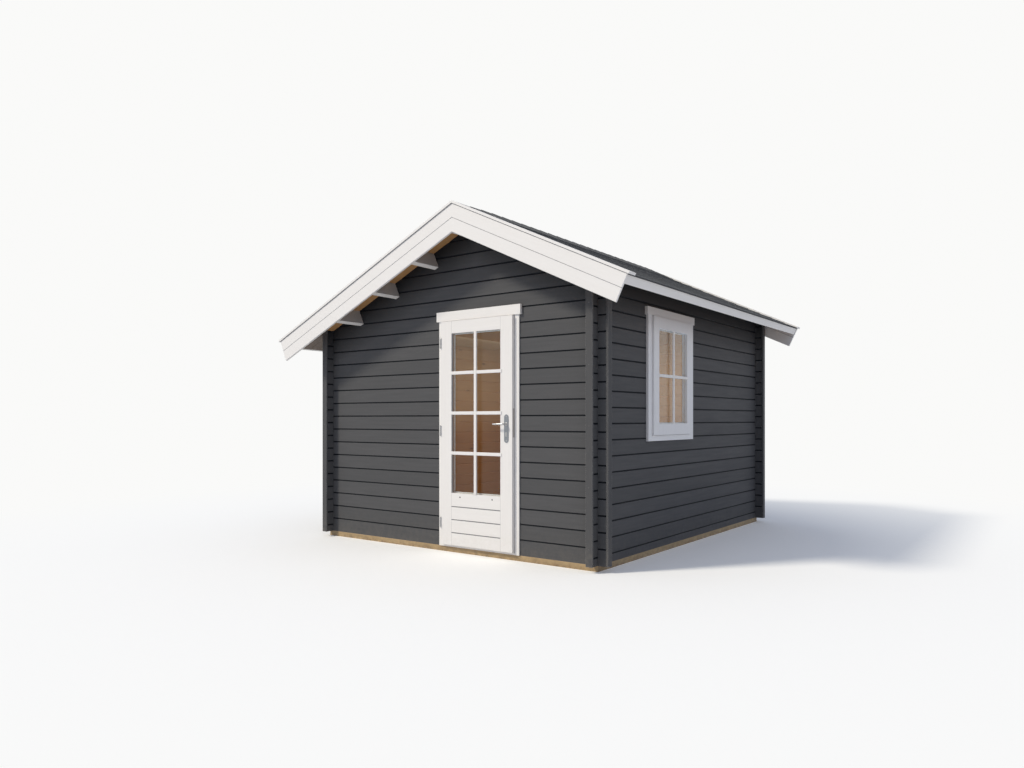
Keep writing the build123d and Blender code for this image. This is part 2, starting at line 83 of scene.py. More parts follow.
def skin(rings):
    """Faces (bars, faces, 4) of closed bars whose rings are (bars, stations, corners, 3).

    Quads join ring s to ring s + 1 round every corner, and the strips between corner i and
    corner n - 1 - i close both ends. A bar whose volume, the sum over its faces of
    a . (b x c) + a . (c x d), comes out below nought has its faces turned over."""
    count, stations, corners = rings.shape[:3]
    index = np.arange(count * stations * corners).reshape(count, stations, corners)
    around = np.roll(index, -1, axis=2)
    faces = [np.stack([index[:, :-1], around[:, :-1], around[:, 1:], index[:, 1:]], axis=-1)]
    half = corners // 2
    for ring, turn in ((index[:, 0], -1), (index[:, -1], 1)):
        other = ring[:, ::-1]
        lid = [ring[:, :half - 1], ring[:, 1:half], other[:, 1:half], other[:, :half - 1]]
        faces.append(np.stack(lid[::turn], axis=-1))
    faces = np.concatenate([f.reshape(count, -1, 4) for f in faces], axis=1)
    a, b, c, d = (rings.reshape(-1, 3)[faces[..., i]] for i in range(4))
    volume = np.einsum("nij,nij->n", a, np.cross(b, c)) + np.einsum("nij,nij->n", a, np.cross(c, d))
    faces[volume < 0] = faces[volume < 0][..., ::-1]
    return faces


def piece(name, rings, body, finish, tones=None, smooth=False):
    """One object of all the bars, with a tone per bar where they are given."""
    faces = skin(rings).reshape(-1, 4)
    mesh = bpy.data.meshes.new(name)
    mesh.from_pydata(rings.reshape(-1, 3).tolist(), [], faces.tolist())
    mesh.materials.append(finishes[finish])
    if tones is not None:
        per_point = np.repeat(tones, rings.shape[1] * rings.shape[2]).astype(np.float32)
        mesh.attributes.new("tone", "FLOAT", "POINT").data.foreach_set("value", per_point)
    if smooth:
        mesh.polygons.foreach_set("use_smooth", np.ones(len(faces), bool))
    made = bpy.data.objects.new(name, mesh)
    bpy.context.scene.collection.objects.link(made)
    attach(made, body)
    return made


def eased(width, depth, ease, base=0.0):
    """Section of a bar with its two outer arrises cut off by `ease`."""
    half = width / 2
    return [(-half, base), (-half, depth - ease), (-half + ease, depth),
            (half - ease, depth), (half, depth - ease), (half, base)]


def shaped(origin, along, side, out, width, ease, stations):
    """Rings of one bar: at each (distance, base, top, spare) an eased section narrower by twice
    the spare, as origin + distance along + u side + v out."""
    rings = []
    for distance, base, top, spare in stations:
        section = np.array(eased(width - 2 * spare, top, ease, base))
        rings.append(origin + distance * along + section[:, :1] * side + section[:, 1:] * out)
    return np.array(rings)


def swept(path, high, deep, segments=20):
    """Rings round a level path: cos(a) high Z + sin(a) deep (tangent x Z) at each of its points."""
    tangent = np.gradient(path, axis=0)
    tangent /= np.linalg.norm(tangent, axis=1, keepdims=True)
    other = np.cross(tangent, Z)
    angle = np.linspace(0, 2 * math.pi, segments, endpoint=False)
    up = np.cos(angle)[:, None] * Z
    rings = (path[:, None] + high[:, None, None] * up
             + deep[:, None, None] * np.sin(angle)[:, None] * other[:, None])
    return rings[None]


def turned(centres, axis, profile, segments=24):
    """Rings of turned pieces: each (radius, height) of the profile spun round the axis."""
    across = np.cross(axis, X if abs(axis[0]) < 0.5 else Y)
    other = np.cross(axis, across)
    angle = np.linspace(0, 2 * math.pi, segments, endpoint=False)
    circle = np.cos(angle)[:, None] * across + np.sin(angle)[:, None] * other
    spun = profile[:, 0, None, None] * circle + profile[:, 1, None, None] * axis
    return np.asarray(centres, float)[:, None, None, :] + spun


def on_slope(name, down, up, y):
    """Points at a distance down a slope and a height over the deck's underside.

    x = ridge_x + side (down cos p + up sin p), z = ridge_z - down sin p + up cos p."""
    down, up, y = np.broadcast_arrays(down, up, y)
    cos, sin = math.cos(pitches[name]), math.sin(pitches[name])
    return np.stack([ridge_x + sides[name] * (down * cos + up * sin), y,
                     ridge_z - down * sin + up * cos], axis=-1)


def slope_normal(name):
    """Direction square to a slope's deck, upwards."""
    return (sides[name] * math.sin(pitches[name]), 0.0, math.cos(pitches[name]))


def slope_place(name, up):
    """The height over a slope's deck underside, as a distance along its normal from the origin."""
    return float(np.dot(slope_normal(name), (ridge_x, 0, ridge_z))) + up


def plumb(name, up):
    """Distance down the slope of the plumb ridge line at a height: -up tan p."""
    return -np.asarray(up) * math.tan(pitches[name])


def lower_end(name, node, up):
    """Distance down the slope of a node's outermost corner, which is at that height."""
    low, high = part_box(node)
    reach = ridge_x - low.x if name == "left" else high.x - ridge_x
    return (reach - up * math.sin(pitches[name])) / math.cos(pitches[name])


# Shader nodes

def feed(tree, socket, value):
    """Give a socket a link, or a plain value."""
    if isinstance(value, bpy.types.NodeSocket):
        tree.links.new(value, socket)
    else:
        socket.default_value = value


def add(tree, kind, sockets=None, **settings):
    """A node with its settings, each named or numbered socket given a value or a link."""
    made = tree.nodes.new(kind)
    for key, value in settings.items():
        setattr(made, key, value)
    for key, value in (sockets or {}).items():
        feed(tree, made.inputs[key], value)
    return made


def math_node(tree, operation, a, b=0.0, clamp=False):
    """Output of a Math node."""
    return add(tree, "ShaderNodeMath", {0: a, 1: b}, operation=operation, use_clamp=clamp).outputs[0]


def times(tree, a, b):
    """Product of two values."""
    return math_node(tree, "MULTIPLY", a, b)


def ramp(tree, value, low, high, start=0.0, end=1.0):
    """Output of a Map Range node from low..high to start..end, clamped."""
    return add(tree, "ShaderNodeMapRange", {0: value, 1: low, 2: high, 3: start, 4: end}).outputs[0]


def mix(tree, factor, a, b):
    """Colour output of a Mix node."""
    return add(tree, "ShaderNodeMix", {0: factor, 6: a, 7: b}, data_type="RGBA").outputs[2]


def tinted(tree, mask, share, under, colour):
    """The colour under it, mixed towards another colour by a share of the mask."""
    return mix(tree, times(tree, mask, share), under, colour)


def noise(tree, vector, scale, detail=2.0, rough=0.5):
    """Factor of a noise texture."""
    return add(tree, "ShaderNodeTexNoise", {"Vector": vector, "Scale": scale, "Detail": detail,
                                            "Roughness": rough}).outputs["Fac"]


def part(tree, vector, axis):
    """One coordinate of a vector, by its number."""
    return add(tree, "ShaderNodeSeparateXYZ", {0: vector}).outputs[axis]


def dot(tree, a, b):
    """Dot product of two vectors; with a direction, how far along it a point lies."""
    return add(tree, "ShaderNodeVectorMath", {0: a, 1: b}, operation="DOT_PRODUCT").outputs["Value"]


def group(name, inputs, outputs):
    """An empty node group with its sockets, its input node and its output node. An input with
    no default is a vector; the others, and all outputs, are values."""
    tree = bpy.data.node_groups.new(name, "ShaderNodeTree")
    for socket, default in inputs.items():
        kind = "NodeSocketVector" if default is None else "NodeSocketFloat"
        made = tree.interface.new_socket(socket, in_out="INPUT", socket_type=kind)
        if default is not None:
            made.default_value = default
    for socket in outputs:
        tree.interface.new_socket(socket, in_out="OUTPUT", socket_type="NodeSocketFloat")
    return tree, tree.nodes.new("NodeGroupInput").outputs, tree.nodes.new("NodeGroupOutput")


def send(tree, out, values):
    """Link each value to the output of that name."""
    for key, value in values.items():
        tree.links.new(value, out.inputs[key])


def grain_group():
    """Planed wood with its grain along X: long streaks, knots and end-grain rings.

    Streaks are noise at a twentieth of the scale along X. Growth lines are a sine of y + z
    bent by slow noise. A knot is the middle of a sparse cell. End is 1 where the surface
    faces along the grain, and there the rings are a sine of the distance from the pith."""
    tree, given, out = group("wood_grain", {"Vector": None, "Normal": None, "Pith": 0.06},
                             ("Streaks", "Lines", "Knots", "End", "Height"))
    stretched = add(tree, "ShaderNodeMapping", {"Vector": given["Vector"], "Scale": (1.2, 22, 22)})
    streaks = noise(tree, stretched.outputs[0], 2.2, 6, 0.62)
    slow = add(tree, "ShaderNodeMapping", {"Vector": given["Vector"], "Scale": (0.9, 5, 5)})
    bend = noise(tree, slow.outputs[0], 2.0, 2)
    parts = add(tree, "ShaderNodeSeparateXYZ", {0: given["Vector"]}).outputs
    radial = math_node(tree, "ADD", math_node(tree, "ADD", parts[1], parts[2]), times(tree, bend, 0.11))
    lines = ramp(tree, math_node(tree, "SINE", times(tree, radial, 560.0)), -1.0, 1.0)
    cell = add(tree, "ShaderNodeMapping", {"Vector": given["Vector"], "Scale": (1.5, 5.5, 5.5)})
    spots = add(tree, "ShaderNodeTexVoronoi", {"Vector": cell.outputs[0], "Scale": 1.35})
    knots = ramp(tree, spots.outputs["Distance"], 0.05, 0.10, 1.0, 0.0)
    end = ramp(tree, math_node(tree, "ABSOLUTE", part(tree, given["Normal"], 0)), 0.75, 0.85)
    away = math_node(tree, "ADD", parts[2], given["Pith"])
    distance = math_node(tree, "SQRT", math_node(tree, "ADD", math_node(tree, "POWER", away, 2.0),
                                                 math_node(tree, "POWER", parts[1], 2.0)))
    rings = ramp(tree, math_node(tree, "SINE", times(tree, distance, 1500.0)), -1, 1)
    both = add(tree, "ShaderNodeMix", {0: end, 2: lines, 3: rings}).outputs[0]
    height = math_node(tree, "ADD", times(tree, streaks, 0.7), times(tree, both, 0.3))
    send(tree, out, {"Streaks": streaks, "Lines": both, "Knots": knots, "End": end, "Height": height})
    return tree


def edge_group():
    """How near a sharp edge a point is: one minus the cosine between the surface's normal and
    the normal of the same shape rounded over by the reach, broken up by noise."""
    tree, given, out = group("edge_wear", {"Vector": None, "Reach": 3 * mm}, ("Edge",))
    rounded = add(tree, "ShaderNodeBevel", {"Radius": given["Reach"]}, samples=4)
    flat = add(tree, "ShaderNodeNewGeometry").outputs["Normal"]
    edge = ramp(tree, dot(tree, rounded.outputs[0], flat), 0.995, 0.86)
    worn = ramp(tree, noise(tree, given["Vector"], 34.0, 3), 0.30, 0.62, 0.35, 1.0)
    send(tree, out, {"Edge": times(tree, edge, worn)})
    return tree


def log_group():
    """Per-log tone, the joints darkened by painted shade and dirt, and the room side of the walls.

    Tone is white noise of the course number, the whole part of (z - start) / course. Joint is 1
    on the sloping arrises, where the normal leans up or down: the first 9 mm over a course
    line, where the arris looks down, and the last 5 mm under the next. Inside is 1 where x and
    y both lie within the walls' inner faces and the joints cut into them."""
    tree, given, out = group("log_courses", {"Vector": None, "Normal": None, "Start": 0.0},
                             ("Tone", "Joint", "Inside"))
    parts = add(tree, "ShaderNodeSeparateXYZ", {0: given["Vector"]}).outputs
    rows = math_node(tree, "DIVIDE", math_node(tree, "SUBTRACT", parts[2], given["Start"]), course)
    tone = add(tree, "ShaderNodeTexWhiteNoise", {"W": math_node(tree, "FLOOR", rows)},
               noise_dimensions="1D").outputs["Value"]
    rise = math_node(tree, "FRACT", rows)
    lean = part(tree, given["Normal"], 2)
    # Painted shade on the arris that looks down over each course line
    over = times(tree, ramp(tree, rise, 7 * mm / course, 9.5 * mm / course, 1.0, 0.0),
                 ramp(tree, lean, -0.2, -0.3))
    # Dirt where the arris that looks up meets the next log
    under = times(tree, ramp(tree, rise, 1 - 6 * mm / course, 1 - 4 * mm / course),
                  ramp(tree, lean, 0.2, 0.3))
    within = []
    for axis, low, high in ((0, left_face, right_face), (1, front_face, back_face)):
        off = math_node(tree, "ABSOLUTE", math_node(tree, "SUBTRACT", parts[axis], (low + high) / 2))
        within.append(math_node(tree, "LESS_THAN", off, (high - low) / 2 - wall + joint_depth))
    send(tree, out, {"Tone": tone, "Joint": math_node(tree, "MAXIMUM", over, under),
                     "Inside": times(tree, *within)})
    return tree


def roof_shade_group():
    """Painted shade under the roof: 1 close under the roof deck, fading out further down. The depth is the
    smaller of the two distances under the slopes, each along its own normal."""
    near, far = 20 * mm, 340 * mm
    tree, given, out = group("roof_shade", {"Vector": None}, ("RoofShade",))
    depths = [math_node(tree, "SUBTRACT", slope_place(name, 0),
                        dot(tree, given["Vector"], slope_normal(name))) for name in sides]
    send(tree, out, {"RoofShade": ramp(tree, math_node(tree, "MINIMUM", *depths), near, far, 1.0, 0.0)})
    return tree


def splash_group():
    """Dust that rain splashes up from the ground, fading out with height and broken by noise."""
    tree, given, out = group("splash", {"Vector": None, "Reach": 0.3}, ("Dust",))
    height = math_node(tree, "DIVIDE", part(tree, given["Vector"], 2), given["Reach"])
    fade = ramp(tree, height, 0.0, 1.0, 1.0, 0.0)
    specks = ramp(tree, noise(tree, given["Vector"], 26.0, 5, 0.65), 0.36, 0.66)
    send(tree, out, {"Dust": times(tree, math_node(tree, "POWER", fade, 2.0), specks)})
    return tree


def granule_group():
    """Mineral granules on felt: each fine cell has its own brightness and stands up a little."""
    tree, given, out = group("granules", {"Vector": None, "Scale": 420.0},
                             ("Tone", "Height", "Patch"))
    cells = add(tree, "ShaderNodeTexVoronoi", {"Vector": given["Vector"], "Scale": given["Scale"]})
    tone = add(tree, "ShaderNodeSeparateColor", {0: cells.outputs["Color"]}).outputs[0]
    height = math_node(tree, "SUBTRACT", 1.0, cells.outputs["Distance"])
    send(tree, out, {"Tone": tone, "Height": height, "Patch": noise(tree, given["Vector"], 2.4, 3)})
    return tree


grain, edges, logs, splash, granules, roof_shade = (
    grain_group(), edge_group(), log_group(), splash_group(), granule_group(), roof_shade_group())

# Turns that bring a piece's grain direction onto X
turns = {
    "x": (0, 0, 0),
    "y": (0, 0, -math.pi / 2),
    "z": (0, math.pi / 2, 0),
    "left": (0, -pitches["left"] - math.pi, 0),
    "right": (0, -pitches["right"], 0),
}


# Materials

def material(name):
    """A material with its tree, its shader and its coordinates."""
    made = bpy.data.materials.new(name)
    made.use_nodes = True
    tree = made.node_tree
    shader = next(n for n in tree.nodes if n.type == "BSDF_PRINCIPLED")
    return made, tree, shader, add(tree, "ShaderNodeTexCoord").outputs


def placed(tree, of, sockets):
    """Outputs of a group placed with its own values."""
    made = tree.nodes.new("ShaderNodeGroup")
    made.node_tree = of
    for key, value in sockets.items():
        feed(tree, made.inputs[key], value)
    return made.outputs


def aged(tree, point, of, share, under, colour, **given):
    """The colour under it, mixed towards another by a share of a group's one mask at the point."""
    return tinted(tree, placed(tree, of, {"Vector": point, **given})[0], share, under, colour)


def turned_grain(tree, coords, turn):
    """The grain group fed with coordinates and normals turned to the piece."""
    point = add(tree, "ShaderNodeMapping", {"Vector": coords["Object"], "Rotation": turns[turn]})
    normal = add(tree, "ShaderNodeMapping", {"Vector": coords["Normal"], "Rotation": turns[turn]},
                 vector_type="VECTOR")
    return placed(tree, grain, {"Vector": point.outputs[0], "Normal": normal.outputs[0]})


def surface(tree, shader, colour, rough, height, strength, depth):
    """Link a colour, a roughness and a bump of that depth to the shader."""
    bump = add(tree, "ShaderNodeBump", {"Height": height, "Strength": strength, "Distance": depth})
    for socket, value in (("Base Color", colour), ("Roughness", rough), ("Normal", bump.outputs[0])):
        tree.links.new(value, shader.inputs[socket])


def wood_surface(tree, shader, wood, colour, rough, strength, depth):
    """Link a colour to the shader, and a roughness and a bump that follow the grain."""
    surface(tree, shader, colour, ramp(tree, wood["Streaks"], 0.2, 0.8, *rough), wood["Height"],
            strength, depth)


# Each bare wood: its plain tone, its growth lines and its streaks
pale_spruce = ((0.475, 0.345, 0.190, 1), (0.375, 0.245, 0.115, 1), (0.35, 0.225, 0.102, 1))
red_pine = ((0.56, 0.315, 0.14, 1), (0.46, 0.23, 0.085, 1), (0.42, 0.205, 0.075, 1))
knot_brown, end_grain = (0.20, 0.095, 0.04, 1), (0.40, 0.26, 0.14, 1)
# Wood wet from splashes, and the dark grey of painted shade under the eaves
wet_wood, eave_shade_grey = (0.13, 0.085, 0.05, 1), (0.085, 0.078, 0.074, 1)

# Anthracite paint: the darkest and the lightest log, streaks, worn arrises with a painted highlight,
# painted shade under the roof, dust, and painted shade with dirt in the joints
log_tones = ((0.093, 0.0925, 0.096, 1), (0.106, 0.105, 0.109, 1))
log_streak, log_edge_wear_and_highlight = (0.075, 0.0755, 0.079, 1), (0.16, 0.16, 0.16, 1)
roof_shade_log, dusty_log, joint_shade_and_dirt = (
    (0.018, 0.020, 0.024, 1), (0.20, 0.18, 0.155, 1), (0.006, 0.008, 0.012, 1))
cover_tone, cover_streak = (0.094, 0.093, 0.096, 1), (0.077, 0.077, 0.081, 1)

# White paint: plain and in the streaks, a bluer copy on the window with its wall's shade painted in, worn
# and dusty tones, painted shade under the roof and on purlin sides, seams with the painted shadow under
# the caps, and painted shade in grooves
white, cream = (0.855, 0.828, 0.810, 1), (0.785, 0.755, 0.735, 1)
shaded_window_white, shaded_window_cream = (0.81, 0.80, 0.812, 1), (0.745, 0.735, 0.745, 1)
worn_white, dusty_white = (0.93, 0.92, 0.90, 1), (0.46, 0.40, 0.32, 1)
roof_shade_white, purlin_side_shade = (0.22, 0.20, 0.19, 1), (0.25, 0.24, 0.235, 1)
seam_and_shadow_grey, groove_shade_grey = (0.27, 0.27, 0.28, 1), (0.16, 0.165, 0.18, 1)


def bare_colour(tree, wood, tones=red_pine):
    """Colour of bare wood from the grain: darker growth lines, streaks, knots and ends."""
    lined = mix(tree, ramp(tree, wood["Lines"], 0.35, 1.0, 0.0, 0.55), tones[0], tones[1])
    streaked = mix(tree, ramp(tree, wood["Streaks"], 0.40, 0.75, 0.0, 0.5), lined, tones[2])
    knotted = tinted(tree, wood["Knots"], 0.8, streaked, knot_brown)
    return tinted(tree, wood["End"], 0.35, knotted, end_grain)


def bare_timber(name, turn, tones=red_pine, shade_beyond_x=None):
    """Planed, untreated wood, stained where rain splashes it, and turned grey by painted shade where x is
    less than the given place, out under the eaves."""
    made, tree, shader, coords = material(name)
    wood = turned_grain(tree, coords, turn)
    tint = aged(tree, coords["Object"], splash, 0.85, bare_colour(tree, wood, tones), wet_wood,
                Reach=0.09)
    if shade_beyond_x is not None:
        # Painted shade: the bare deck goes dark grey beyond that x, under the eaves
        out = ramp(tree, part(tree, coords["Object"], 0), shade_beyond_x - 0.03, shade_beyond_x + 0.03, 0.85, 0.0)
        tint = mix(tree, out, tint, eave_shade_grey)
    wood_surface(tree, shader, wood, tint, (0.5, 0.66), 0.35, 0.6 * mm)
    return made


def log_paint(name, turn, start):
    """Opaque anthracite paint on planed logs, darkened by painted shade under the roof, with painted shade
    and dirt in the joints, and bare pine on the room side."""
    made, tree, shader, coords = material(name)
    point = coords["Object"]
    wood = turned_grain(tree, coords, turn)
    rows = placed(tree, logs, {"Vector": point, "Normal": coords["Normal"], "Start": start})
    tint = mix(tree, rows["Tone"], *log_tones)
    tint = mix(tree, ramp(tree, wood["Streaks"], 0.30, 0.75, 0.0, 0.5), tint, log_streak)
    # Lighter arrises: wear, with a painted highlight
    tint = aged(tree, point, edges, 0.30, tint, log_edge_wear_and_highlight, Reach=2.5 * mm)
    # Painted shade under the roof: the logs go nearly black close under the deck
    tint = aged(tree, point, roof_shade, 0.94, tint, roof_shade_log)
    tint = aged(tree, point, splash, 0.30, tint, dusty_log, Reach=0.42)
    # Joints: painted shade on the downward arrises, dirt at the contact
    tint = tinted(tree, rows["Joint"], 0.95, tint, joint_shade_and_dirt)
    tint = mix(tree, rows["Inside"], tint, bare_colour(tree, wood))
    shader.inputs["Specular IOR Level"].default_value = 0.08
    wood_surface(tree, shader, wood, tint, (0.52, 0.68), 0.30, 0.5 * mm)
    return made


def paint(name, turn, colour=white, shade=cream, rough=(0.36, 0.48), seams=(), grooves=False,
          gloss=0.5, roof_shade_share=0.0):
    """Satin paint on planed softwood, brighter along worn arrises, dusty near the ground and darkened by
    painted shade under the roof, by the share called roof_shade_share.

    Each seam (direction, place, half width) is a dark line where the distance along that direction is
    within the half width of the place: a real seam, or under a verge cap the painted shadow of its lip.
    Painted shade darkens the grooves where the surface leans up or down, on the flanks of a level V
    groove."""
    made, tree, shader, coords = material(name)
    point = coords["Object"]
    wood = turned_grain(tree, coords, turn)
    tint = mix(tree, ramp(tree, wood["Streaks"], 0.30, 0.80, 0.0, 0.55), colour, shade)
    tint = aged(tree, point, edges, 0.4, tint, worn_white, Reach=2.0 * mm)
    tint = aged(tree, point, splash, 0.22, tint, dusty_white, Reach=0.36)
    if roof_shade_share:
        # Painted shade under the roof
        tint = aged(tree, point, roof_shade, roof_shade_share, tint, roof_shade_white)
    for direction, place, half in seams:
        # Dark lines: seams, and the painted shadow under the caps
        off = math_node(tree, "ABSOLUTE", math_node(tree, "SUBTRACT", dot(tree, point, direction), place))
        tint = mix(tree, ramp(tree, off, half - 0.3 * mm, half + 0.3 * mm, 0.75, 0.0), tint, seam_and_shadow_grey)
    if grooves:
        # Painted shade on the flanks of the V grooves
        lean = math_node(tree, "ABSOLUTE", part(tree, coords["Normal"], 2))
        flank = times(tree, ramp(tree, lean, 0.25, 0.35), ramp(tree, lean, 0.9, 0.95, 1, 0))
        tint = tinted(tree, flank, 0.9, tint, groove_shade_grey)
    shader.inputs["Specular IOR Level"].default_value = gloss
    wood_surface(tree, shader, wood, tint, rough, 0.22, 0.35 * mm)
    return made


def half_painted(name, turn):
    """Purlins: painted in front of and behind the walls, with painted shade making their upright faces
    grey, and bare inside the room."""
    made, tree, shader, coords = material(name)
    wood = turned_grain(tree, coords, turn)
    rows = placed(tree, logs, {"Vector": coords["Object"], "Normal": coords["Normal"], "Start": 0.0})
    tint = mix(tree, ramp(tree, wood["Streaks"], 0.30, 0.80, 0.0, 0.55), white, cream)
    lean = math_node(tree, "ABSOLUTE", part(tree, coords["Normal"], 2))
    # Painted shade: upright faces darker grey, faces that lean down stay white
    tint = mix(tree, ramp(tree, lean, 0.5, 0.8, 0.62, 0.0), tint, purlin_side_shade)
    tint = mix(tree, rows["Inside"], tint, bare_colour(tree, wood))
    wood_surface(tree, shader, wood, tint, (0.42, 0.58), 0.25, 0.4 * mm)
    return made


def felt(name):
    """Mineral-faced bitumen felt: granules, a tone per shingle and faint weather patches."""
    made, tree, shader, coords = material(name)
    grit = placed(tree, granules, {"Vector": coords["Object"], "Scale": 430.0})
    own = add(tree, "ShaderNodeAttribute", attribute_name="tone").outputs["Fac"]
    body = mix(tree, own, (0.046, 0.049, 0.055, 1), (0.088, 0.090, 0.096, 1))
    body = mix(tree, ramp(tree, grit["Tone"], 0.45, 1.0, 0.0, 0.55), body, (0.16, 0.165, 0.175, 1))
    body = mix(tree, ramp(tree, grit["Patch"], 0.40, 0.72, 0.0, 0.35), body, (0.11, 0.112, 0.112, 1))
    surface(tree, shader, body, ramp(tree, grit["Tone"], 0.0, 1.0, 0.78, 0.95), grit["Height"], 0.6,
            0.8 * mm)
    return made


def steel(name, axis, colour, rough, forend=None):
    """Brushed stainless steel, its hair lines stretched along one axis.

    Beyond the x of `forend` it is duller and browner, as on the edge of the leaf."""
    made, tree, shader, coords = material(name)
    stretch = [900.0, 900.0, 900.0]
    stretch[axis] = 14.0
    lines = add(tree, "ShaderNodeMapping", {"Vector": coords["Object"], "Scale": stretch})
    hair = noise(tree, lines.outputs[0], 1.0, 2)
    smudge = noise(tree, coords["Object"], 60.0, 3)
    dark = tuple(c * 0.72 for c in colour[:3]) + (1,)
    tint = mix(tree, ramp(tree, hair, 0.3, 0.7), dark, colour)
    dull = ramp(tree, smudge, 0.3, 0.7, rough, rough + 0.16)
    shader.inputs["Metallic"].default_value = 1.0
    if forend is not None:
        edge = math_node(tree, "GREATER_THAN", part(tree, coords["Object"], 0), forend)
        tint = mix(tree, edge, tint, (0.50, 0.46, 0.43, 1))
        dull = math_node(tree, "ADD", dull, times(tree, edge, 0.3))
        tree.links.new(ramp(tree, edge, 0.0, 1.0, 1.0, 0.25), shader.inputs["Metallic"])
    surface(tree, shader, tint, dull, hair, 0.12, 0.1 * mm)
    return made


def clear_glass():
    """Float glass with a little dust; light passes it, and glints off it, without a caustic."""
    made, tree, shader, coords = material("clear_glass")
    film = noise(tree, coords["Object"], 7.0, 4, 0.6)
    tint = mix(tree, ramp(tree, film, 0.35, 0.75), (0.97, 0.985, 0.98, 1), (0.90, 0.915, 0.91, 1))
    tree.links.new(tint, shader.inputs["Base Color"])
    tree.links.new(ramp(tree, film, 0.45, 0.80, 0.0, 0.035), shader.inputs["Roughness"])
    shader.inputs["Transmission Weight"].default_value = 1.0
    shader.inputs["IOR"].default_value = 1.33
    path = add(tree, "ShaderNodeLightPath").outputs
    through = add(tree, "ShaderNodeBsdfTransparent", {"Color": (0.93, 0.95, 0.94, 1)})
    plain = math_node(tree, "MAXIMUM", path["Is Shadow Ray"], path["Is Diffuse Ray"])
    both = add(tree, "ShaderNodeMixShader", {0: plain, 1: shader.outputs[0], 2: through.outputs[0]})
    tree.links.new(both.outputs[0], tree.nodes["Material Output"].inputs["Surface"])
    return made


def plastic(name, colour):
    """Dull moulded plastic with a fine orange peel."""
    made, tree, shader, coords = material(name)
    peel = noise(tree, coords["Object"], 900.0, 2)
    tint = mix(tree, ramp(tree, peel, 0.35, 0.65), colour, (0.05, 0.05, 0.05, 1))
    surface(tree, shader, tint, ramp(tree, peel, 0.3, 0.7, 0.42, 0.6), peel, 0.2, 0.1 * mm)
    return made


door_seams = ((X, pane_low[0], 0.8 * mm), (X, pane_high[0], 0.8 * mm))
# Bargeboard lines: the joint of the two boards, and under the cap a painted shadow of its lip
barge_seams_and_cap_shadow = {name: ((slope_normal(name), slope_place(name, -30 * mm), 2.2 * mm),
                      (slope_normal(name), slope_place(name, roofing_top - 2 * mm), 2.6 * mm))
               for name in sides}
finishes = {
    "logs_across": log_paint("log_paint_across", "x", log_bottom),
    "logs_deep": log_paint("log_paint_deep", "y", log_bottom - course / 2),
    "covers": paint("cover_board_paint", "z", cover_tone, cover_streak, (0.5, 0.62), gloss=0.08),
    "timber_across": bare_timber("bare_timber_across", "x", pale_spruce),
    "timber_deep": bare_timber("bare_timber_deep", "y", pale_spruce),
    "timber_left": bare_timber("bare_timber_left_slope", "left", shade_beyond_x=left_face),
    "timber_right": bare_timber("bare_timber_right_slope", "right"),
    "purlins": half_painted("purlin_paint", "y"),
    "white_across": paint("white_paint_across", "x"),
    "white_deep": paint("white_paint_deep", "y"),
    "white_upright": paint("white_paint_upright", "z"),
    # The window's paint: a bluer, shaded copy of the white, with painted shade under the roof
    "window_deep": paint("window_paint_deep", "y", shaded_window_white, shaded_window_cream, roof_shade_share=0.55),
    "window_upright": paint("window_paint_upright", "z", shaded_window_white, shaded_window_cream, roof_shade_share=0.55),
    "white_left": paint("white_paint_left_slope", "left", seams=barge_seams_and_cap_shadow["left"]),
    "white_right": paint("white_paint_right_slope", "right", seams=barge_seams_and_cap_shadow["right"]),
    "door_stiles": paint("white_paint_door_stiles", "z", seams=door_seams),
    "door_rails": paint("white_paint_door_rails", "x", seams=door_seams, grooves=True),
    "felt": felt("roofing_felt"),
    "steel": steel("brushed_steel", 2, (0.55, 0.55, 0.56, 1), 0.24),
    "plate_steel": steel("plate_steel", 2, (0.30, 0.32, 0.35, 1), 0.28, leaf_high.x - 2.5 * mm),
    "lever_steel": steel("lever_steel", 0, (0.62, 0.62, 0.63, 1), 0.20),
    "plug": plastic("plug_plastic", (0.022, 0.022, 0.024, 1)),
    "glass": clear_glass(),
}

# Finish of each CAD node that stays in sight, or whose new piece takes it
worn_by = {
    "logs_across": ("front_wall_odd_logs", "front_wall_even_logs", "back_wall_odd_logs",
                    "back_wall_even_logs"),
    "logs_deep": ("left_wall_odd_logs", "left_wall_even_logs", "right_wall_odd_logs",
                  "right_wall_even_logs"),
    "covers": ("corner_covers",),
    "timber_across": ("end_base_beams", "floor"),
    "timber_deep": ("side_base_beams", "floor_joists"),
    "purlins": ("purlins", "ridge_purlin"),
    "white_across": ("door_head", "door_threshold", "door_casing_head"),
    "white_deep": ("fascias",),
    "white_upright": ("door_jambs", "door_casing_sides"),
    "window_deep": ("window_casing_head_and_foot", "window_frame"),
    "window_upright": ("window_casing_sides", "window_sash"),
    "door_stiles": ("door_stiles",),
    "door_rails": ("door_rails",),
    "felt": ("left_roofing", "right_roofing", "ridge_covering"),
    "steel": ("door_hinge_frame_halves", "door_hinge_leaf_halves"),
    "plate_steel": ("lock_plates",),
    "lever_steel": ("door_handle",),
    "glass": ("door_glass", "window_glass"),
}
for name in sides:
    worn_by["timber_" + name] = (name + "_roof_deck",)
    worn_by["white_" + name] = (name + "_upper_bargeboards", name + "_lower_bargeboards",
                                name + "_verge_caps")
for finish, names in worn_by.items():
    for name in names:
        nodes[name].data.materials.clear()
        nodes[name].data.materials.append(finishes[finish])


# Boards of the roof deck and the floor

deck_board, floor_board = 96 * mm, 117 * mm


def groove_stations(start, end, cover, width, depth):
    """Places along a boarded face and their depths: a V of that width at every joint."""
    joints = np.arange(start + cover, end - width, cover)
    places = np.concatenate([[start], (joints[:, None] + [-width / 2, 0, width / 2]).ravel(), [end]])
    depths = np.concatenate([[0], np.tile([0, depth, 0], len(joints)), [0]])
    return places, depths


